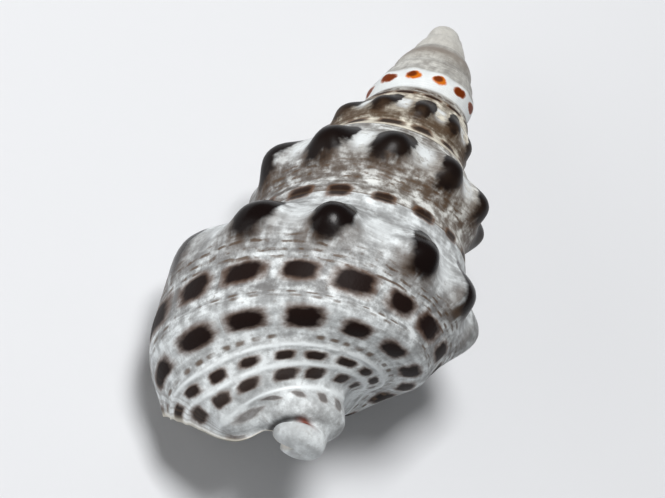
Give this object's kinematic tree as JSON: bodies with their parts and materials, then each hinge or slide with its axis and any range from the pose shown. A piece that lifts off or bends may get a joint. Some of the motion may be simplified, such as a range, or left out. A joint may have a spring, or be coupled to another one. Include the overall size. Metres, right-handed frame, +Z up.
{
  "type": "cerith shell",
  "caption": "Spiral sea snail shell with a tall knobbed spire, a flared lip and a short canal, lying on its mouth.",
  "frame": {"origin": "centre of the footprint's bounding box, on the surface that the shell lies on", "axes": "+Z up, +Y towards the tip of the spire, the canal towards -Y, the flared lip on the -X side"},
  "size_m": [0.0146, 0.0274, 0.0134],
  "materials": {
    "shell_lime": "glossy worn shell lime, grey-white with blackish knobs and rows of dark spots"
  },
  "bodies": {
    "root": {"shell": "shell_lime"}
  },
  "joints": []
}
